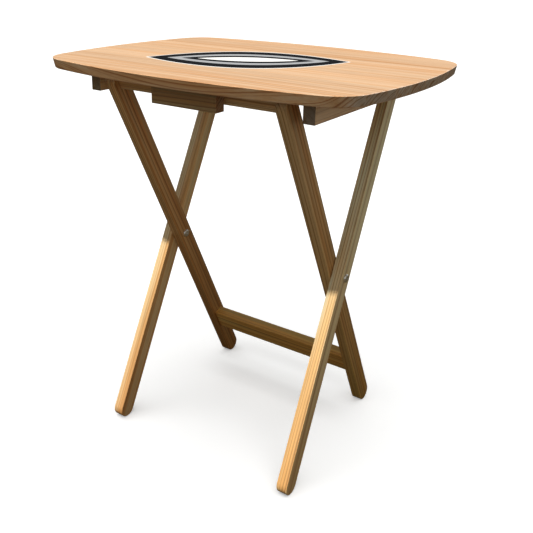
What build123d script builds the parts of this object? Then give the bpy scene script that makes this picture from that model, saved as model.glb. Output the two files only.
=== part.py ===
from build123d import *

import os
from math import atan2, cos, degrees, radians, sin

# Folding tray table: a bowed wooden top, glued up from boards, on a scissor stand of four
# round-ended legs. Millimetres, +X to the right, +Y to the rear, +Z up. The origin is on the
# floor under the middle of the top. The table is drawn open, as it stands in use.

# ---- driving dimensions -------------------------------------------------------------------------

TABLE_HEIGHT = 660.0

TOP_LENGTH = 595.0  # along X, at the middle of the short sides
TOP_DEPTH = 464.0  # along Y, at the middle of the long sides
TOP_THICKNESS = 16.0
TOP_LONG_BOW = 1180.0  # radius of the gently bowed front and rear sides
TOP_SHORT_BOW = 870.0  # radius of the bowed left and right sides
TOP_CORNER = 62.0
TOP_UNDERCUT = 3.0  # how far the edge slopes in from the upper rim to the underside
TOP_RIM_EASE = 0.7  # chamfers
TOP_LOWER_EASE = 1.2
TOP_BOARDS = 7  # boards along X, glued edge to edge

LEG_WIDTH = 19.0  # along X
LEG_DEPTH = 31.0  # across the leg, in the plane in which it swings
LEG_LEAN = 26.3  # from the vertical, in degrees
LEG_EDGE_EASE = 1.0
LEG_GAP = 1.0  # between neighbours on a pivot, filled by a washer
OUTER_LEG_X = 178.5  # middle of an outer leg
LEG_CROSSING_Y = -5.0
TOP_REST_GAP = 0.5  # between the round tops of the legs and the underside

STRETCHER_HEIGHT = 42.0
STRETCHER_THICKNESS = 19.0
STRETCHER_BELOW_CROSSING = 247.0  # along the leg, to the middle of the stretcher
STRETCHER_SET_BACK = -0.5  # behind the middle of the leg
RAIL_SECTION = 19.0  # square
RAIL_ABOVE_CROSSING = 341.2  # along the leg, to the middle of the rail
RAIL_SET_BACK = 3.0
BAR_EDGE_EASE = 1.0

CLEAT_WIDTH = 19.0
CLEAT_HEIGHT = 35.0
CLEAT_LENGTH = 328.0
CATCH_LENGTH = 120.0
CATCH_WIDTH = 19.0
CATCH_Y = -176.0

# Sleeve nuts and their bolts, one pair at each of the four pivots.
SLEEVE_R = 4.0
SLEEVE_LENGTH = 33.0
SLEEVE_BORE_R = 4.05  # in the wood: a running fit on the sleeve
THREAD_BORE_R = 2.5
THREAD_BORE_DEPTH = 30.0
BOLT_R = 2.45
BOLT_LENGTH = 28.0
BUTTON_R = 7.0
BUTTON_HEIGHT = 3.0
BUTTON_EASE = 2.2
HEX_SOCKET_R = 2.3
HEX_SOCKET_DEPTH = 1.8
FLUSH_HEAD_R = 6.0
FLUSH_HEAD_RECESS = 0.5
SEAT_CLEARANCE = 0.1
WASHER_R = 8.0
WASHER_HOLE_R = 4.2
WASHER_THICKNESS = 0.8

# Countersunk wood screws up through the cleats and the catch block into the top.
SCREW_LENGTH = 45.0
SCREW_R = 2.1
SCREW_TIP = 6.0
SCREW_HEAD_R = 4.0
SCREW_RECESS = 0.5
SCREW_HOLE_R = 2.2
SCREW_SLOT = (4.4, 0.9, 1.4)  # length, width and depth of each arm of the cross recess
CLEAT_SCREW_YS = (-125.0, 0.0, 115.0)
CATCH_SCREW_XS = (-40.0, 40.0)

# Glued dowels that join the rail and the stretcher to the inner legs.
DOWEL_IN_LEG = 12.0
DOWEL_IN_BAR = 20.0
DOWEL_GLUE_LINE = 0.1
DOWEL_END_ROOM = 1.0
RAIL_DOWEL_R = 3.0
RAIL_DOWEL_PITCH = 9.0
STRETCHER_DOWEL_R = 4.0
STRETCHER_DOWEL_PITCH = 22.0

# ---- worked out from them -----------------------------------------------------------------------

UNDERSIDE_Z = TABLE_HEIGHT - TOP_THICKNESS
LEG_END_R = LEG_DEPTH / 2
TOP_PIVOT_Z = UNDERSIDE_Z - TOP_REST_GAP - LEG_END_R
LEG_CROSSING_Z = (TOP_PIVOT_Z + LEG_END_R) / 2
LEG_HALF_SPAN = (TOP_PIVOT_Z - LEG_END_R) / 2 / cos(radians(LEG_LEAN))
TOP_PIVOT_Y = LEG_CROSSING_Y + LEG_HALF_SPAN * sin(radians(LEG_LEAN))

OUTER_LEG_INNER_X = OUTER_LEG_X - LEG_WIDTH / 2
OUTER_LEG_OUTER_X = OUTER_LEG_X + LEG_WIDTH / 2
INNER_LEG_OUTER_X = OUTER_LEG_INNER_X - LEG_GAP
INNER_LEG_INNER_X = INNER_LEG_OUTER_X - LEG_WIDTH
INNER_LEG_X = (INNER_LEG_INNER_X + INNER_LEG_OUTER_X) / 2
CLEAT_INNER_X = OUTER_LEG_OUTER_X + LEG_GAP
CLEAT_OUTER_X = CLEAT_INNER_X + CLEAT_WIDTH
CLEAT_X = (CLEAT_INNER_X + CLEAT_OUTER_X) / 2
CLEAT_BOTTOM_Z = UNDERSIDE_Z - CLEAT_HEIGHT

# Where a leaning frame's own upright drawing goes: +Z along the leg, its middle on the crossing.
# The inner legs lean forwards at the top, the outer legs backwards.
INNER_PLACE = Location((0, LEG_CROSSING_Y, LEG_CROSSING_Z), (LEG_LEAN, 0, 0))
OUTER_PLACE = Location((0, LEG_CROSSING_Y, LEG_CROSSING_Z), (-LEG_LEAN, 0, 0))

# Heights of the two dowels at each end of a bar, in that upright drawing.
RAIL_DOWEL_ZS = [RAIL_ABOVE_CROSSING + half * RAIL_DOWEL_PITCH / 2 for half in (-1, 1)]
STRETCHER_DOWEL_ZS = [half * STRETCHER_DOWEL_PITCH / 2 - STRETCHER_BELOW_CROSSING for half in (-1, 1)]


# ---- shared shapes ------------------------------------------------------------------------------


def other_side(shape):
    """The same piece on the left of the table."""
    return mirror(shape, about=Plane.YZ)


def both_sides(shapes):
    """One group that holds each of these pieces on the right and on the left."""
    return Compound(children=[*shapes, *[other_side(shape) for shape in shapes]])


def rod_x(radius, start_x, end_x, y=0.0, z=0.0):
    """A round bar or hole along X."""
    length = abs(end_x - start_x)
    return Pos((start_x + end_x) / 2, y, z) * Rot(0, 90, 0) * Cylinder(radius, length)


def cone_x(start_r, end_r, start_x, end_x):
    """A cone along X, for the countersunk heads and their seats."""
    length = end_x - start_x
    return Pos((start_x + end_x) / 2, 0, 0) * Rot(0, 90, 0) * Cone(start_r, end_r, length)


def eased_bar(size_x, size_y, size_z, ease):
    """A square-ended bar along X with its four long edges eased."""
    bar = Box(size_x, size_y, size_z)
    return fillet(bar.edges().filter_by(Axis.X), ease)


# ---- the top ------------------------------------------------------------------------------------


def top_panel():
    """The whole top before it is divided into boards."""
    long_bow_centre = TOP_DEPTH / 2 - TOP_LONG_BOW
    short_bow_centre = TOP_LENGTH / 2 - TOP_SHORT_BOW
    outline = Pos(0, long_bow_centre) * Circle(TOP_LONG_BOW)
    outline &= Pos(0, -long_bow_centre) * Circle(TOP_LONG_BOW)
    outline &= Pos(short_bow_centre, 0) * Circle(TOP_SHORT_BOW)
    outline &= Pos(-short_bow_centre, 0) * Circle(TOP_SHORT_BOW)
    outline = fillet(outline.vertices(), TOP_CORNER)
    undercut_depth = TOP_THICKNESS - TOP_RIM_EASE - TOP_LOWER_EASE
    lower_outline = offset(outline, -TOP_UNDERCUT)
    rim_z = TABLE_HEIGHT - TOP_RIM_EASE
    panel = tapered_layer(outline, rim_z, TOP_RIM_EASE, TOP_RIM_EASE)
    panel += tapered_layer(outline, rim_z, -undercut_depth, TOP_UNDERCUT)
    return panel + tapered_layer(
        lower_outline, UNDERSIDE_Z + TOP_LOWER_EASE, -TOP_LOWER_EASE, TOP_LOWER_EASE
    )


def tapered_layer(outline, start_z, height, inset):
    """A layer that narrows by the inset on every side over its height."""
    taper = degrees(atan2(inset, abs(height)))
    return extrude(Pos(0, 0, start_z) * outline, amount=height, taper=taper)


def screw_points():
    """Where the screws enter, as (x, y) under the top."""
    on_cleats = [(side * CLEAT_X, y) for side in (-1, 1) for y in CLEAT_SCREW_YS]
    on_catch = [(x, CATCH_Y) for x in CATCH_SCREW_XS]
    return on_cleats, on_catch


def screw_holes(points):
    """Holes for the screws, with the seats of their heads, through a bar and into the top."""
    room = SCREW_LENGTH + 2 * SCREW_RECESS
    hole = Pos(0, 0, room / 2) * Cylinder(SCREW_HOLE_R, room)
    seat_r = SCREW_HEAD_R + SEAT_CLEARANCE
    hole += Pos(0, 0, SCREW_RECESS / 2) * Cylinder(seat_r, SCREW_RECESS)
    hole += Pos(0, 0, SCREW_RECESS + seat_r / 2) * Cone(seat_r, 0, seat_r)
    return Compound(children=[Pos(x, y, CLEAT_BOTTOM_Z) * hole for x, y in points])


def top_boards(panel, holes):
    """The panel divided along its glue lines into boards, front to rear."""
    board_width = TOP_DEPTH / TOP_BOARDS
    front_half = []
    front_y = -TOP_DEPTH
    for index in range(1, TOP_BOARDS // 2 + 2):
        rear_y = index * board_width - TOP_DEPTH / 2
        slab = Box(2 * TOP_LENGTH, rear_y - front_y, 4 * TOP_THICKNESS)
        front_half.append(panel & Pos(0, (front_y + rear_y) / 2, TABLE_HEIGHT) * slab)
        front_y = rear_y
    rear_half = [mirror(board, about=Plane.XZ) for board in front_half[TOP_BOARDS // 2 - 1 :: -1]]
    return [board - holes for board in front_half + rear_half]


def cleat(holes):
    """The right cleat, with its pivot hole near the rear end."""
    bar = Rot(0, 0, 90) * eased_bar(CLEAT_LENGTH, CLEAT_WIDTH, CLEAT_HEIGHT, BAR_EDGE_EASE)
    bar = Pos(CLEAT_X, 0, UNDERSIDE_Z - CLEAT_HEIGHT / 2) * bar
    bar -= rod_x(SLEEVE_BORE_R, CLEAT_INNER_X - 1, CLEAT_OUTER_X + 1, TOP_PIVOT_Y, TOP_PIVOT_Z)
    return bar - holes


def catch_block(holes):
    """The block under the top that stops the rail when the stand is fully open."""
    block = eased_bar(CATCH_LENGTH, CATCH_WIDTH, CLEAT_HEIGHT, BAR_EDGE_EASE)
    return Pos(0, CATCH_Y, UNDERSIDE_Z - CLEAT_HEIGHT / 2) * block - holes


def wood_screw():
    """A countersunk wood screw, upright on its head."""
    shank_length = SCREW_LENGTH - SCREW_TIP
    screw = Pos(0, 0, shank_length / 2) * Cylinder(SCREW_R, shank_length)
    screw += Pos(0, 0, shank_length + SCREW_TIP / 2) * Cone(SCREW_R, 0.3, SCREW_TIP)
    head_height = SCREW_HEAD_R - SCREW_R
    screw += Pos(0, 0, head_height / 2) * Cone(SCREW_HEAD_R, SCREW_R, head_height)
    length, width, depth = SCREW_SLOT
    screw -= Pos(0, 0, depth / 2) * Box(length, width, depth)
    return screw - Pos(0, 0, depth / 2) * Box(width, length, depth)


def screws(points):
    """One group of screws, seated just inside the undersides of the bars."""
    seat_z = CLEAT_BOTTOM_Z + SCREW_RECESS
    return Compound(children=[Pos(x, y, seat_z) * wood_screw() for x, y in points])


# ---- legs, rail and stretcher -------------------------------------------------------------------


def plain_leg(middle_x):
    """A round-ended leg, upright, with its hole at the crossing."""
    profile = Plane.YZ * Rot(0, 0, 90) * SlotCenterToCenter(2 * LEG_HALF_SPAN, LEG_DEPTH)
    leg = extrude(profile, amount=LEG_WIDTH / 2, both=True)
    side_faces = leg.faces().filter_by(Axis.X)
    leg = fillet(side_faces.edges(), LEG_EDGE_EASE)
    leg = Pos(middle_x, 0, 0) * leg
    return leg - rod_x(SLEEVE_BORE_R, middle_x - LEG_WIDTH, middle_x + LEG_WIDTH)


def outer_leg():
    """The right outer leg: its top is pinned to the cleat, its foot is in front."""
    recess_end_x = OUTER_LEG_INNER_X + FLUSH_HEAD_RECESS
    seat_r = FLUSH_HEAD_R + SEAT_CLEARANCE
    pivot_hole = rod_x(SLEEVE_BORE_R, OUTER_LEG_INNER_X - 1, OUTER_LEG_OUTER_X + 1)
    pivot_hole += rod_x(seat_r, OUTER_LEG_INNER_X - 1, recess_end_x)
    pivot_hole += cone_x(seat_r, 0, recess_end_x, recess_end_x + seat_r)
    leg = plain_leg(OUTER_LEG_X) - Pos(0, 0, LEG_HALF_SPAN) * pivot_hole
    return OUTER_PLACE * leg


def dowel_holes(radius, y, heights):
    """Upright drawing: the holes on the right for one bar's dowels."""
    start_x = INNER_LEG_INNER_X - DOWEL_IN_BAR - DOWEL_END_ROOM
    end_x = INNER_LEG_INNER_X + DOWEL_IN_LEG + DOWEL_END_ROOM
    return [rod_x(radius + DOWEL_GLUE_LINE, start_x, end_x, y, z) for z in heights]


def dowels(radius, y, heights):
    """One group of dowels, at both ends of a bar."""
    start_x = INNER_LEG_INNER_X - DOWEL_IN_BAR
    end_x = INNER_LEG_INNER_X + DOWEL_IN_LEG
    return both_sides([INNER_PLACE * rod_x(radius, start_x, end_x, y, z) for z in heights])


def inner_leg():
    """The right inner leg: it carries the front of the top, and its foot is at the rear."""
    leg = plain_leg(INNER_LEG_X)
    leg -= dowel_holes(RAIL_DOWEL_R, RAIL_SET_BACK, RAIL_DOWEL_ZS)
    leg -= dowel_holes(STRETCHER_DOWEL_R, STRETCHER_SET_BACK, STRETCHER_DOWEL_ZS)
    return INNER_PLACE * leg


def between_inner_legs(bar, holes):
    """A bar drilled at both ends for its dowels and set between the inner legs."""
    return INNER_PLACE * (bar - holes - [other_side(hole) for hole in holes])


def top_rail():
    """The rail that joins the upper ends of the inner legs and rests against the catch block."""
    bar = eased_bar(2 * INNER_LEG_INNER_X, RAIL_SECTION, RAIL_SECTION, BAR_EDGE_EASE)
    bar = Pos(0, RAIL_SET_BACK, RAIL_ABOVE_CROSSING) * bar
    return between_inner_legs(bar, dowel_holes(RAIL_DOWEL_R, RAIL_SET_BACK, RAIL_DOWEL_ZS))


def stretcher():
    """The wider rail that joins the inner legs near their feet."""
    bar = eased_bar(2 * INNER_LEG_INNER_X, STRETCHER_THICKNESS, STRETCHER_HEIGHT, BAR_EDGE_EASE)
    bar = Pos(0, STRETCHER_SET_BACK, -STRETCHER_BELOW_CROSSING) * bar
    holes = dowel_holes(STRETCHER_DOWEL_R, STRETCHER_SET_BACK, STRETCHER_DOWEL_ZS)
    return between_inner_legs(bar, holes)


# ---- pivots -------------------------------------------------------------------------------------


def button_head():
    """A low round head that grows along +X from x = 0, with a hexagon socket."""
    head = rod_x(BUTTON_R, 0, BUTTON_HEIGHT)
    crown = head.edges().filter_by(GeomType.CIRCLE).sort_by(Axis.X)[-1]
    head = fillet(crown, BUTTON_EASE)
    return head - hex_socket(BUTTON_HEIGHT, -1)


def hex_socket(mouth_x, direction):
    """A hexagon recess that goes in from mouth_x."""
    middle_x = mouth_x + direction * HEX_SOCKET_DEPTH / 2
    hexagon = Plane.YZ * RegularPolygon(HEX_SOCKET_R, 6)
    return Pos(middle_x, 0, 0) * extrude(hexagon, amount=HEX_SOCKET_DEPTH / 2, both=True)


def sleeve_nut():
    """A button-headed nut whose threaded sleeve lies along -X from x = 0."""
    nut = button_head() + rod_x(SLEEVE_R, -SLEEVE_LENGTH, 0)
    return nut - rod_x(THREAD_BORE_R, -SLEEVE_LENGTH - 1, THREAD_BORE_DEPTH - SLEEVE_LENGTH)


def button_bolt():
    """A button-headed bolt whose shank lies along -X from x = 0."""
    return button_head() + rod_x(BOLT_R, -BOLT_LENGTH, 0)


def flush_bolt():
    """A countersunk bolt: its head starts at x = 0 and its shank lies along +X."""
    head = cone_x(FLUSH_HEAD_R, BOLT_R, 0, FLUSH_HEAD_R - BOLT_R)
    return head + rod_x(BOLT_R, 1, BOLT_LENGTH) - hex_socket(0, 1)


def washer(middle_x):
    """The spacer between two pieces that turn on one pivot."""
    start_x = middle_x - WASHER_THICKNESS / 2
    end_x = middle_x + WASHER_THICKNESS / 2
    return rod_x(WASHER_R, start_x, end_x) - rod_x(WASHER_HOLE_R, start_x - 1, end_x + 1)


def at_crossing(piece):
    """A pivot piece of the crossing, on both sides."""
    return both_sides([Pos(0, LEG_CROSSING_Y, LEG_CROSSING_Z) * piece])


def at_top_pivot(piece):
    """A pivot piece of the top, on both sides."""
    return both_sides([Pos(0, TOP_PIVOT_Y, TOP_PIVOT_Z) * piece])


def pivot_pieces():
    """The bolts, sleeve nuts and washers of the four pivots."""
    turned = Rot(0, 0, 180)
    crossing_bolt = Pos(OUTER_LEG_OUTER_X + SEAT_CLEARANCE, 0, 0) * button_bolt()
    crossing_nut = Pos(INNER_LEG_INNER_X, 0, 0) * turned * sleeve_nut()
    top_bolt = Pos(OUTER_LEG_INNER_X + FLUSH_HEAD_RECESS, 0, 0) * flush_bolt()
    top_nut = Pos(CLEAT_OUTER_X + SEAT_CLEARANCE, 0, 0) * sleeve_nut()
    return {
        "leg_pivot_bolts": at_crossing(crossing_bolt),
        "leg_pivot_nuts": at_crossing(crossing_nut),
        "leg_pivot_washers": at_crossing(washer(OUTER_LEG_INNER_X - LEG_GAP / 2)),
        "top_pivot_bolts": at_top_pivot(top_bolt),
        "top_pivot_nuts": at_top_pivot(top_nut),
        "top_pivot_washers": at_top_pivot(washer(CLEAT_INNER_X - LEG_GAP / 2)),
    }


# ---- the whole table ----------------------------------------------------------------------------


def build():
    """Every sub-part of the table, by the name of its node."""
    cleat_points, catch_points = screw_points()
    cleat_holes = screw_holes(cleat_points)
    catch_holes = screw_holes(catch_points)
    all_holes = screw_holes(cleat_points + catch_points)
    right_cleat = cleat(cleat_holes)
    right_outer_leg = outer_leg()
    right_inner_leg = inner_leg()
    nodes = {
        "cleat_left": other_side(right_cleat),
        "cleat_right": right_cleat,
        "catch_block": catch_block(catch_holes),
        "cleat_screws": screws(cleat_points),
        "catch_screws": screws(catch_points),
        "outer_leg_left": other_side(right_outer_leg),
        "outer_leg_right": right_outer_leg,
        "inner_leg_left": other_side(right_inner_leg),
        "inner_leg_right": right_inner_leg,
        "top_rail": top_rail(),
        "stretcher": stretcher(),
        "rail_dowels": dowels(RAIL_DOWEL_R, RAIL_SET_BACK, RAIL_DOWEL_ZS),
        "stretcher_dowels": dowels(STRETCHER_DOWEL_R, STRETCHER_SET_BACK, STRETCHER_DOWEL_ZS),
        **pivot_pieces(),
    }
    for number, board in enumerate(top_boards(top_panel(), all_holes), start=1):
        nodes[f"top_board_{number}"] = board
    return nodes


os.makedirs("parts", exist_ok=True)
for name, shape in build().items():
    export_step(shape, f"parts/{name}.step")
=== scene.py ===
"""The looks of a folding wooden tray table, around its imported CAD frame. Metres, +Z up."""

import math

import bpy
from mathutils import Matrix, Vector

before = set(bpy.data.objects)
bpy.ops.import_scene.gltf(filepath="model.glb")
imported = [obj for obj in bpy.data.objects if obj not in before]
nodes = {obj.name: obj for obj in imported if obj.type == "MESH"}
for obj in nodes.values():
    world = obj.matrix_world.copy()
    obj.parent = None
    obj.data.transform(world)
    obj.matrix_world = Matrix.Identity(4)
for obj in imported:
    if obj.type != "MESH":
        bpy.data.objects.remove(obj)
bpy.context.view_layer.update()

# ---- camera -------------------------------------------------------------------------------------

CAMERA_PLACE = Vector((0.6593, -0.9697, 0.8234))
CAMERA_YAW = math.radians(33.13)
CAMERA_PITCH = math.radians(17.9)
CAMERA_ROLL = math.radians(1.19)
SENSOR_WIDTH = 36.0
LENS = 48.2
SHIFT_Y = -0.153

# ---- light --------------------------------------------------------------------------------------

KEY_TOWARDS = Vector((-0.03, -0.475, 0.88))  # from the table towards the lamp
KEY_STRENGTH = 4.2
KEY_SOFTNESS = math.radians(1.6)
KEY_COLOUR = (1.0, 0.97, 0.92)
SKY_TOWARDS = Vector((0.10, -0.93, 0.36))
SKY_STRENGTH = 0.24
SKY_SOFTNESS = math.radians(30.0)
SKY_COLOUR = (0.85, 1.0, 1.12)
BACK_TOWARDS = Vector((0.22, 0.96, 0.08))  # the back and left lamps share a strength and softness
LEFT_TOWARDS = Vector((-0.97, 0.08, 0.10))
BACK_STRENGTH = 0.40
BACK_SOFTNESS = math.radians(30.0)
FILL_TOWARDS = Vector((0.94, -0.15, 0.30))
FILL_STRENGTH = 0.24
FILL_SOFTNESS = math.radians(50.0)
FILL_COLOUR = (1.0, 0.88, 0.70)
AMBIENT = 0.24
AMBIENT_COLOUR = (0.95, 0.98, 0.98, 1.0)
FLOOR_LIGHT_TOWARDS = Vector((0.0, -0.2, 1.0))
FLOOR_LIGHT_STRENGTH = 2.6
FLOOR_LIGHT_SOFTNESS = math.radians(70.0)
PALE = (0.95, 0.95, 0.945, 1.0)
FLOOR_BOUNCE = (0.10, 0.075, 0.04, 1.0)  # the floor's colour in the light that it throws back up
FLOOR_GLOW = 0.35  # seen by the camera alone
FLOOR_HALF = 20.0

# ---- wood ---------------------------------------------------------------------------------------

LEG_LEAN = math.radians(26.3)

# Each of these turns a piece so that its grain lies along Z, as the noise below needs.
ALONG_X = (0.0, math.radians(-90.0), 0.0)
ALONG_Y = (math.radians(90.0), 0.0, 0.0)
ALONG_INNER_LEG = (-LEG_LEAN, 0.0, 0.0)
ALONG_OUTER_LEG = (LEG_LEAN, 0.0, 0.0)

# Noise frequencies, per metre: twice across the grain, then along it.
DRIFT = (9.0, 9.0, 1.1)
UNEVEN_RINGS = (60.0, 60.0, 3.0)
STREAKS = (60.0, 60.0, 0.8)
BUNDLES = (95.0, 95.0, 2.6)
FIBRES = (900.0, 900.0, 16.0)
SEED_DIRECTION = (1.7, 0.9, 2.3)  # how far one unit of seed moves the noise
BOARD_SEED = 0.37
BAR_SEED = 0.41
DOWEL_SEED = 9.1

# Spells of good and bad years. Frequencies are per ring, and shifts are in ring widths.
SPELL_FREQUENCY = 0.45
SPELL_SHIFT = 2.2
UNEVEN_SHIFT = 0.9
LATE_PROFILE = [(0.0, 0.1), (0.3, 0.0), (0.65, 0.25), (0.84, 1.0), (0.95, 0.9), (1.0, 0.1)]
SPELL_PROFILE = [(0.3, 0.35), (0.55, 1.0)]

STREAK_FROM = 0.49
STREAK_FULL = 0.57
FIBRE_SHADES = [(0.3, 0.88), (0.7, 1.06)]
CUT_MASK = [(0.55, 0.0), (0.98, 1.0)]  # by how far a face's normal lies along the grain
RIM_MASK = [(0.3, 1.0), (0.6, 0.0)]  # by how far it lies along Z

SATIN = 0.36  # the varnish's least roughness, and then what the fibres add
SATIN_SPREAD = 0.16
COAT_ROUGHNESS = 0.3
FIBRE_RELIEF = 0.6
LATE_RELIEF = 0.4
RELIEF_STRENGTH = 0.25
RELIEF_DEPTH = 0.0003

WARM_WOOD = (0.93, 0.74, 0.54)  # against the piece's own colour
LATE_WOOD = (0.54, 0.36, 0.24)
CUT_END = (0.5, 0.5, 0.52)  # a cut end, against the long faces
CLEAT_END = (0.27, 0.27, 0.28)
BLOCK_END = (1.12, 1.15, 1.75)
EDGE_TINT = (0.44, 0.43, 0.385)  # the rim of the top, against its face
TOP_END = (1.8, 2.25, 3.2)  # against the rim, which EDGE_TINT has darkened
FOOT_SHADE_HEIGHT = 0.50  # painted shade: from here down to the floor, a leg's colour darkens to its foot's colour

# "ring" is a ring's mean width and "drift_by" how far the rings wander. "late" and "warmth" are the
# strengths of late wood and of warm streaks, and "bundles" shades the bundles of fibres.
BAR_LOOKS = {
    "ring": 0.0052,
    "drift_by": 0.014,
    "late": 1.0,
    "warmth": 1.0,
    "bundles": [(0.28, 0.72), (0.5, 0.98), (0.75, 1.12)],
    "end": CUT_END,
    "specular": 0.5,
    "coat": 0.12,
}
TOP_LOOKS = {
    "ring": 0.0060,
    "drift_by": 0.034,
    "late": 0.50,
    "warmth": 0.6,
    "bundles": [(0.28, (0.92, 0.80, 0.68)), (0.5, (0.98, 0.98, 0.98)), (0.75, (1.05, 1.06, 1.07))],
    "end": TOP_END,
    "specular": 0.06,
    "coat": 0.0,
}

TOP_COLOUR = (0.715, 0.485, 0.305)
BOARD_TONES = [1.0, 0.95, 1.04, 0.98, 1.03, 0.96, 1.01]
BOARD_PITHS = [
    (-0.582, -0.139),
    (-0.562, -0.063),
    (-0.592, 0.024),
    (-0.572, 0.060),
    (-0.582, 0.161),
    (-0.557, 0.213),
    (-0.587, 0.274),
]
DOWEL_COLOUR = (0.66, 0.48, 0.28)
# The legs' foot colours are painted shade, which darkens each leg towards the floor.
BARS = {
    "inner_leg_left": {
        "turn": ALONG_INNER_LEG,
        "pith": (-0.110, 0.105),
        "colour": (0.77, 0.46, 0.19),
        "painted_foot_shade": (0.34, 0.16, 0.035),
    },
    "inner_leg_right": {
        "turn": ALONG_INNER_LEG,
        "pith": (0.205, 0.175),
        "colour": (0.72, 0.47, 0.22),
        "painted_foot_shade": (0.52, 0.30, 0.07),
    },
    "outer_leg_left": {
        "turn": ALONG_OUTER_LEG,
        "pith": (-0.225, -0.180),
        "colour": (0.99, 0.77, 0.42),
        "painted_foot_shade": (0.72, 0.45, 0.21),
        "late": 0.6,
    },
    "outer_leg_right": {
        "turn": ALONG_OUTER_LEG,
        "pith": (0.135, -0.175),
        "colour": (0.98, 0.89, 0.58),
        "painted_foot_shade": (0.80, 0.53, 0.24),
    },
    "top_rail": {"turn": ALONG_X, "pith": (-0.70, -0.20), "colour": (0.74, 0.51, 0.28)},
    "stretcher": {"turn": ALONG_X, "pith": (-0.02, 0.20), "colour": (0.73, 0.45, 0.13)},
    # The catch block's dark colour is painted shade, for the shade under the top.
    "catch_block": {
        "turn": ALONG_X,
        "pith": (-0.70, -0.25),
        "colour": (0.43, 0.28, 0.125),
        "end": BLOCK_END,
    },
    "cleat_left": {
        "turn": ALONG_Y,
        "pith": (-0.25, -0.60),
        "colour": (0.90, 0.66, 0.36),
        "end": CLEAT_END,
        "late": 0.5,
    },
    "cleat_right": {
        "turn": ALONG_Y,
        "pith": (0.15, -0.55),
        "colour": (0.99, 0.74, 0.50),
        "end": CLEAT_END,
        "late": 0.5,
    },
}

# ---- print --------------------------------------------------------------------------------------

MOTIF_CENTRE = (-0.009, -0.009)
MOTIF_TURN = math.radians(31.0)
MOTIF_HALF_LENGTH = 0.168
MOTIF_HALF_DEPTH = 0.098
INK = (0.006, 0.007, 0.009)
SILVER = (0.36, 0.37, 0.39)
WHITE = (0.86, 0.86, 0.85)
MOTIF_BANDS = [  # share of the way out from the centre, and the printed colour
    (0.0, WHITE),
    (0.24, INK),
    (0.42, SILVER),
    (0.62, INK),
    (0.95, WHITE),
]
PRINT_ROUGHNESS = 0.75
FACE_UP = 0.9  # only faces that look up this squarely are printed

# ---- metal and nylon ----------------------------------------------------------------------------

PLATED_STEEL = (0.92, 0.90, 0.86)
PLATED_ROUGHNESS = 0.22
ZINC_STEEL = (0.50, 0.46, 0.38)
ZINC_ROUGHNESS = 0.38
TURNING_MARKS = (2500.0, 400.0, 400.0)  # per metre, finest along X, as the pivot bolts lie
MARK_TONE = 0.8
MARK_ROUGHNESS = 0.2
NYLON = (0.80, 0.79, 0.74)
NYLON_ROUGHNESS = 0.5
CLOUDS = (300.0, 300.0, 300.0)
CLOUD_TONE = 0.86


def rgba(colour):
    """A colour or a grey, as the four numbers that a socket takes."""
    return (colour,) * 3 + (1.0,) if isinstance(colour, float) else (*colour, 1.0)


def scaled_colour(colour, tone):
    return tuple(c * tone for c in colour)


class Tree:
    """A material's nodes, with short ways to add and join them."""

    def __init__(self, name):
        self.material = bpy.data.materials.new(name)
        self.material.use_nodes = True
        self.nodes = self.material.node_tree.nodes
        self.links = self.material.node_tree.links
        self.shader = self.nodes["Principled BSDF"]

    def add(self, kind, inputs=(), **settings):
        """A node, with its settings and with its inputs given as values or as other nodes' outputs."""
        node = self.nodes.new(kind)
        for key, value in settings.items():
            setattr(node, key, value)
        for socket, value in dict(inputs).items():
            self.feed(node.inputs[socket], value)
        return node

    def feed(self, socket, value):
        if isinstance(value, bpy.types.NodeSocket):
            self.links.new(value, socket)
        else:
            socket.default_value = value

    def maths(self, operation, *values):
        node = self.add("ShaderNodeMath", operation=operation)
        for socket, value in zip(node.inputs, values):
            self.feed(socket, value)
        return node.outputs[0]

    def vector(self, operation, *values):
        node = self.add("ShaderNodeVectorMath", operation=operation)
        for socket, value in zip(node.inputs, values):
            self.feed(socket, value)
        return node.outputs["Value" if operation in ("LENGTH", "DOT_PRODUCT") else "Vector"]

    def vertical(self, vector):
        return self.add("ShaderNodeSeparateXYZ", {"Vector": vector}).outputs["Z"]

    def noise(self, vector, frequency, detail=2.0, roughness=0.5):
        """Noise of these frequencies along X, Y and Z."""
        scaled = self.vector("MULTIPLY", vector, frequency)
        inputs = {"Vector": scaled, "Scale": 1.0, "Detail": detail, "Roughness": roughness}
        return self.add("ShaderNodeTexNoise", inputs).outputs

    def ramp(self, value, stops, interpolation="LINEAR"):
        """Stops are (position, grey or colour)."""
        node = self.add("ShaderNodeValToRGB", {"Fac": value})
        node.color_ramp.interpolation = interpolation
        elements = node.color_ramp.elements
        elements[1].position = stops[-1][0]
        elements[0].position = stops[0][0]
        for position, _ in stops[1:-1]:
            elements.new(position)
        for element, (_, colour) in zip(elements, stops):
            element.color = rgba(colour)
        return node.outputs["Color"]

    def mix(self, factor, a, b, blend="MIX"):
        node = self.add("ShaderNodeMix", data_type="RGBA", blend_type=blend)
        self.feed(node.inputs["Factor"], factor)
        self.feed(node.inputs["A"], a)
        self.feed(node.inputs["B"], b)
        return node.outputs["Result"]


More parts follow.
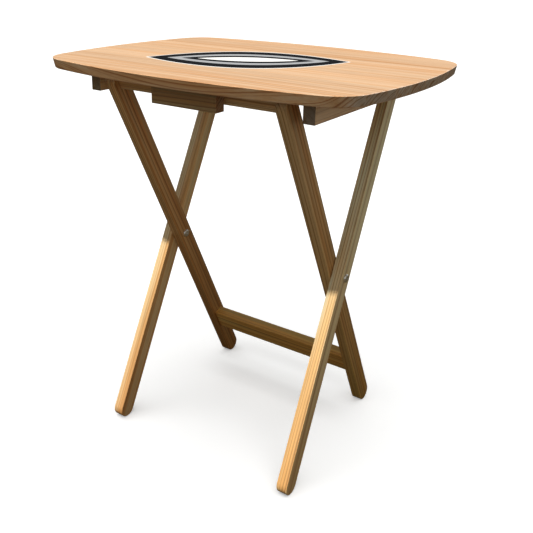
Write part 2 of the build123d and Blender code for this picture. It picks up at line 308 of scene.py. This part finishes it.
def growth_rings(tree, along, seeded, pith, looks):
    """Late wood, from 0 to 1, in rings of uneven width and strength round the pith."""
    ring = looks["ring"]
    drift = tree.vector("SUBTRACT", tree.noise(seeded, DRIFT)["Color"], (0.5, 0.5, 0.5))
    drift = tree.vector("MULTIPLY", drift, (looks["drift_by"], looks["drift_by"], 0.0))
    flat = tree.vector("MULTIPLY", tree.vector("ADD", along, drift), (1.0, 1.0, 0.0))
    radius = tree.vector("LENGTH", tree.vector("SUBTRACT", flat, (*pith, 0.0)))
    spell = tree.add(
        "ShaderNodeTexNoise",
        {"W": tree.maths("MULTIPLY", radius, SPELL_FREQUENCY / ring), "Scale": 1.0, "Detail": 1.0},
        noise_dimensions="1D",
    ).outputs["Fac"]
    radius = tree.maths("ADD", radius, tree.maths("MULTIPLY", spell, ring * SPELL_SHIFT))
    uneven = tree.noise(seeded, UNEVEN_RINGS, 1.0)["Fac"]
    radius = tree.maths("ADD", radius, tree.maths("MULTIPLY", uneven, ring * UNEVEN_SHIFT))
    phase = tree.maths("FRACT", tree.maths("DIVIDE", radius, ring))
    late = tree.ramp(phase, LATE_PROFILE)
    return tree.maths("MULTIPLY", late, tree.ramp(spell, SPELL_PROFILE))


def grain(tree, place, turn, pith, seed, looks):
    """Late wood, streaks of warmer wood, bundles of fibres and single fibres, each as a mask."""
    turned = tree.add("ShaderNodeMapping", {"Vector": place["Object"], "Rotation": turn})
    along = turned.outputs[0]
    seeded = tree.vector("ADD", along, [seed * step for step in SEED_DIRECTION])
    return {
        "late": growth_rings(tree, along, seeded, pith, looks),
        "streak": tree.noise(seeded, STREAKS, 4.0, 0.65)["Fac"],
        "bundle": tree.noise(seeded, BUNDLES, 3.0, 0.6)["Fac"],
        "fibre": tree.noise(seeded, FIBRES, 2.0, 0.6)["Fac"],
    }


def grained(tree, tint, masks, late, looks):
    """The wood's plain colour with its grain laid over it, its late wood at this strength."""
    warm = tree.mix(1.0, tint, rgba(WARM_WOOD), "MULTIPLY")
    dark = tree.mix(1.0, tint, rgba(LATE_WOOD), "MULTIPLY")
    streaks = [(STREAK_FROM, 0.0), (STREAK_FULL, looks["warmth"])]
    tint = tree.mix(tree.ramp(masks["streak"], streaks), tint, warm)
    tint = tree.mix(tree.maths("MULTIPLY", masks["late"], late), tint, dark)
    tint = tree.mix(1.0, tint, tree.ramp(masks["bundle"], looks["bundles"]), "MULTIPLY")
    return tree.mix(1.0, tint, tree.ramp(masks["fibre"], FIBRE_SHADES), "MULTIPLY")


def cut_ends(tree, place, turn, tint, end):
    """Cut ends take the varnish in another way, and show their own tone."""
    facing = tree.add(
        "ShaderNodeMapping", {"Vector": place["Normal"], "Rotation": turn}, vector_type="NORMAL"
    ).outputs[0]
    cut = tree.ramp(tree.maths("ABSOLUTE", tree.vertical(facing)), CUT_MASK)
    return tree.mix(cut, tint, tree.mix(1.0, tint, rgba(end), "MULTIPLY"))


def satin(tree, masks):
    """The roughness of satin varnish, which dulls along the fibres."""
    return tree.maths("ADD", tree.maths("MULTIPLY", masks["fibre"], SATIN_SPREAD), SATIN)


def varnished(tree, tint, roughness, masks, looks):
    """Feeds the shader. Late wood and fibres stand a little proud under the varnish."""
    fibre = tree.maths("MULTIPLY", masks["fibre"], FIBRE_RELIEF)
    relief = tree.maths("ADD", fibre, tree.maths("MULTIPLY", masks["late"], LATE_RELIEF))
    inputs = {"Strength": RELIEF_STRENGTH, "Distance": RELIEF_DEPTH, "Height": relief}
    bump = tree.add("ShaderNodeBump", inputs)
    tree.feed(tree.shader.inputs["Base Color"], tint)
    tree.feed(tree.shader.inputs["Roughness"], roughness)
    tree.feed(tree.shader.inputs["Normal"], bump.outputs[0])
    tree.shader.inputs["Specular IOR Level"].default_value = looks["specular"]
    tree.shader.inputs["Coat Weight"].default_value = looks["coat"]
    tree.shader.inputs["Coat Roughness"].default_value = COAT_ROUGHNESS
    return tree.material


def bar_wood(name, turn, pith, colour, seed, painted_foot_shade=None, **changes):
    """Softwood with its grain along the bar, and painted shade that darkens it towards the floor where
    it has a foot colour.
    """
    looks = {**BAR_LOOKS, **changes}
    tree = Tree(name)
    place = tree.add("ShaderNodeTexCoord").outputs
    masks = grain(tree, place, turn, pith, seed, looks)
    tint = rgba(colour)
    if painted_foot_shade:
        # Painted shade: the colour darkens from the foot height down to the foot colour at the floor.
        height = tree.vertical(place["Object"])
        tint = tree.ramp(height, [(0.0, painted_foot_shade), (FOOT_SHADE_HEIGHT, colour)])
    tint = grained(tree, tint, masks, looks["late"], looks)
    tint = cut_ends(tree, place, turn, tint, looks["end"])
    return varnished(tree, tint, satin(tree, masks), masks, looks)


def board_wood(name, pith, colour, seed):
    """A board of the top: darker and more strongly grained on its rim, and printed on its face."""
    tree = Tree(name)
    place = tree.add("ShaderNodeTexCoord").outputs
    masks = grain(tree, place, ALONG_X, pith, seed, TOP_LOOKS)
    up = tree.vertical(place["Normal"])
    rim = tree.ramp(tree.maths("ABSOLUTE", up), RIM_MASK)
    on_face = TOP_LOOKS["late"]
    late = tree.maths("ADD", tree.maths("MULTIPLY", rim, 1.0 - on_face), on_face)
    tint = grained(tree, rgba(colour), masks, late, TOP_LOOKS)
    tint = cut_ends(tree, place, ALONG_X, tint, TOP_LOOKS["end"])
    tint = tree.mix(rim, tint, tree.mix(1.0, tint, rgba(EDGE_TINT), "MULTIPLY"))
    tint, printed = printed_motif(tree, place["Object"], up, tint)
    bare = satin(tree, masks)
    rougher = tree.maths("MULTIPLY", printed, tree.maths("SUBTRACT", PRINT_ROUGHNESS, bare))
    return varnished(tree, tint, tree.maths("ADD", bare, rougher), masks, TOP_LOOKS)


def printed_motif(tree, place, up, tint):
    """A plain pointed oval of nested bands, printed on the slant in the middle of the top."""
    point = tree.vector("SUBTRACT", place, (*MOTIF_CENTRE, 0.0))
    long_way = (math.cos(MOTIF_TURN), math.sin(MOTIF_TURN), 0.0)
    short_way = (-math.sin(MOTIF_TURN), math.cos(MOTIF_TURN), 0.0)
    along = tree.maths("DIVIDE", tree.vector("DOT_PRODUCT", point, long_way), MOTIF_HALF_LENGTH)
    across = tree.maths("ABSOLUTE", tree.vector("DOT_PRODUCT", point, short_way))
    across = tree.maths("DIVIDE", across, MOTIF_HALF_DEPTH)
    out = tree.maths("ADD", tree.maths("MULTIPLY", along, along), across)
    bands = tree.ramp(out, MOTIF_BANDS, "CONSTANT")
    inside = tree.maths("LESS_THAN", out, 1.0)
    printed = tree.maths("MULTIPLY", inside, tree.maths("GREATER_THAN", up, FACE_UP))
    return tree.mix(printed, tint, bands), printed


def steel(name, colour, roughness):
    """Steel with fine turning marks."""
    tree = Tree(name)
    place = tree.add("ShaderNodeTexCoord").outputs["Object"]
    marks = tree.noise(place, TURNING_MARKS)["Fac"]
    tint = tree.mix(marks, rgba(colour), rgba(scaled_colour(colour, MARK_TONE)))
    tree.feed(tree.shader.inputs["Base Color"], tint)
    marked = tree.maths("ADD", tree.maths("MULTIPLY", marks, MARK_ROUGHNESS), roughness)
    tree.feed(tree.shader.inputs["Roughness"], marked)
    tree.shader.inputs["Metallic"].default_value = 1.0
    return tree.material


def nylon(name, colour):
    """Natural nylon, with a faint cloudiness."""
    tree = Tree(name)
    place = tree.add("ShaderNodeTexCoord").outputs["Object"]
    cloud = tree.noise(place, CLOUDS)["Fac"]
    tint = tree.mix(cloud, rgba(colour), rgba(scaled_colour(colour, CLOUD_TONE)))
    tree.feed(tree.shader.inputs["Base Color"], tint)
    tree.shader.inputs["Roughness"].default_value = NYLON_ROUGHNESS
    return tree.material


def finish_node(name, material):
    """Gives a CAD node this material in every slot that it has."""
    mesh = nodes[name].data
    if not mesh.materials:
        mesh.materials.append(material)
    for index in range(len(mesh.materials)):
        mesh.materials[index] = material


def dress():
    """Every CAD node gets its wood, steel or nylon."""
    for number, (tone, pith) in enumerate(zip(BOARD_TONES, BOARD_PITHS), start=1):
        name = f"top_board_{number}"
        colour = scaled_colour(TOP_COLOUR, tone)
        finish_node(name, board_wood(name, pith, colour, number * BOARD_SEED))
    for number, (name, looks) in enumerate(BARS.items(), start=11):
        finish_node(name, bar_wood(name, seed=number * BAR_SEED, **looks))
    for name in ("rail_dowels", "stretcher_dowels"):
        finish_node(name, bar_wood(name, ALONG_X, (0.0, 0.0), DOWEL_COLOUR, DOWEL_SEED, late=0.5))
    bright = steel("plated_steel", PLATED_STEEL, PLATED_ROUGHNESS)
    dull = steel("zinc_steel", ZINC_STEEL, ZINC_ROUGHNESS)
    pale = nylon("natural_nylon", NYLON)
    for name in ("leg_pivot_bolts", "leg_pivot_nuts", "top_pivot_bolts", "top_pivot_nuts"):
        finish_node(name, bright)
    for name in ("cleat_screws", "catch_screws"):
        finish_node(name, dull)
    for name in ("leg_pivot_washers", "top_pivot_washers"):
        finish_node(name, pale)


def make_camera():
    data = bpy.data.cameras.new("camera")
    data.sensor_width = SENSOR_WIDTH
    data.lens = LENS
    data.shift_y = SHIFT_Y
    ahead = Vector(
        (
            -math.sin(CAMERA_YAW) * math.cos(CAMERA_PITCH),
            math.cos(CAMERA_YAW) * math.cos(CAMERA_PITCH),
            -math.sin(CAMERA_PITCH),
        )
    )
    level = Vector((math.cos(CAMERA_YAW), math.sin(CAMERA_YAW), 0.0))
    upright = level.cross(ahead)
    right = level * math.cos(CAMERA_ROLL) + upright * math.sin(CAMERA_ROLL)
    up = upright * math.cos(CAMERA_ROLL) - level * math.sin(CAMERA_ROLL)
    turned = Matrix((right, up, -ahead)).transposed().to_4x4()
    camera = bpy.data.objects.new("camera", data)
    camera.matrix_world = Matrix.Translation(CAMERA_PLACE) @ turned
    bpy.context.scene.collection.objects.link(camera)
    bpy.context.scene.camera = camera


def sun(name, towards, strength, softness, receivers, colour=(1.0, 1.0, 1.0)):
    """A distant lamp that lights only the objects of one collection."""
    data = bpy.data.lights.new(name, "SUN")
    data.color = colour
    data.energy = strength
    data.angle = softness
    lamp = bpy.data.objects.new(name, data)
    lamp.rotation_mode = "QUATERNION"
    lamp.rotation_quaternion = towards.to_track_quat("Z", "Y")
    bpy.context.scene.collection.objects.link(lamp)
    lamp.light_linking.receiver_collection = receivers


def pale_floor():
    """A wide pale floor, which throws only a little warm light back up at the table."""
    mesh = bpy.data.meshes.new("floor")
    corners = [(x * FLOOR_HALF, y * FLOOR_HALF, 0.0) for x, y in ((-1, -1), (1, -1), (1, 1), (-1, 1))]
    mesh.from_pydata(corners, [], [(0, 1, 2, 3)])
    floor = bpy.data.objects.new("floor", mesh)
    bpy.context.scene.collection.objects.link(floor)
    tree = Tree("floor")
    path = tree.add("ShaderNodeLightPath")
    tint = tree.mix(path.outputs["Is Camera Ray"], FLOOR_BOUNCE, PALE)
    tree.feed(tree.shader.inputs["Base Color"], tint)
    tree.shader.inputs["Roughness"].default_value = 1.0
    tree.shader.inputs["Specular IOR Level"].default_value = 0.0
    tree.shader.inputs["Emission Color"].default_value = PALE
    glow = tree.maths("MULTIPLY", path.outputs["Is Camera Ray"], FLOOR_GLOW)
    tree.feed(tree.shader.inputs["Emission Strength"], glow)
    mesh.materials.append(tree.material)
    return floor


def pale_surroundings():
    """A soft grey light from all round, behind which the camera sees plain white."""
    world = bpy.data.worlds.new("world")
    bpy.context.scene.world = world
    world.use_nodes = True
    nodes, links = world.node_tree.nodes, world.node_tree.links
    around = nodes["Background"]
    around.inputs["Color"].default_value = AMBIENT_COLOUR
    around.inputs["Strength"].default_value = AMBIENT
    behind = nodes.new("ShaderNodeBackground")
    behind.inputs["Color"].default_value = (1.0, 1.0, 1.0, 1.0)
    path = nodes.new("ShaderNodeLightPath")
    choice = nodes.new("ShaderNodeMixShader")
    links.new(path.outputs["Is Camera Ray"], choice.inputs[0])
    links.new(around.outputs[0], choice.inputs[1])
    links.new(behind.outputs[0], choice.inputs[2])
    links.new(choice.outputs[0], nodes["World Output"].inputs["Surface"])


def light():
    floor = pale_floor()
    only_floor = bpy.data.collections.new("only_floor")
    only_floor.objects.link(floor)
    only_table = bpy.data.collections.new("only_table")
    for node in nodes.values():
        only_table.objects.link(node)
    sun("key", KEY_TOWARDS, KEY_STRENGTH, KEY_SOFTNESS, only_table, KEY_COLOUR)
    sun("sky", SKY_TOWARDS, SKY_STRENGTH, SKY_SOFTNESS, only_table, SKY_COLOUR)
    sun("back", BACK_TOWARDS, BACK_STRENGTH, BACK_SOFTNESS, only_table)
    sun("left", LEFT_TOWARDS, BACK_STRENGTH, BACK_SOFTNESS, only_table)
    sun("fill", FILL_TOWARDS, FILL_STRENGTH, FILL_SOFTNESS, only_table, FILL_COLOUR)
    sun("floor_light", FLOOR_LIGHT_TOWARDS, FLOOR_LIGHT_STRENGTH, FLOOR_LIGHT_SOFTNESS, only_floor)
    pale_surroundings()
    bpy.context.scene.view_settings.view_transform = "Standard"


make_camera()
light()
dress()
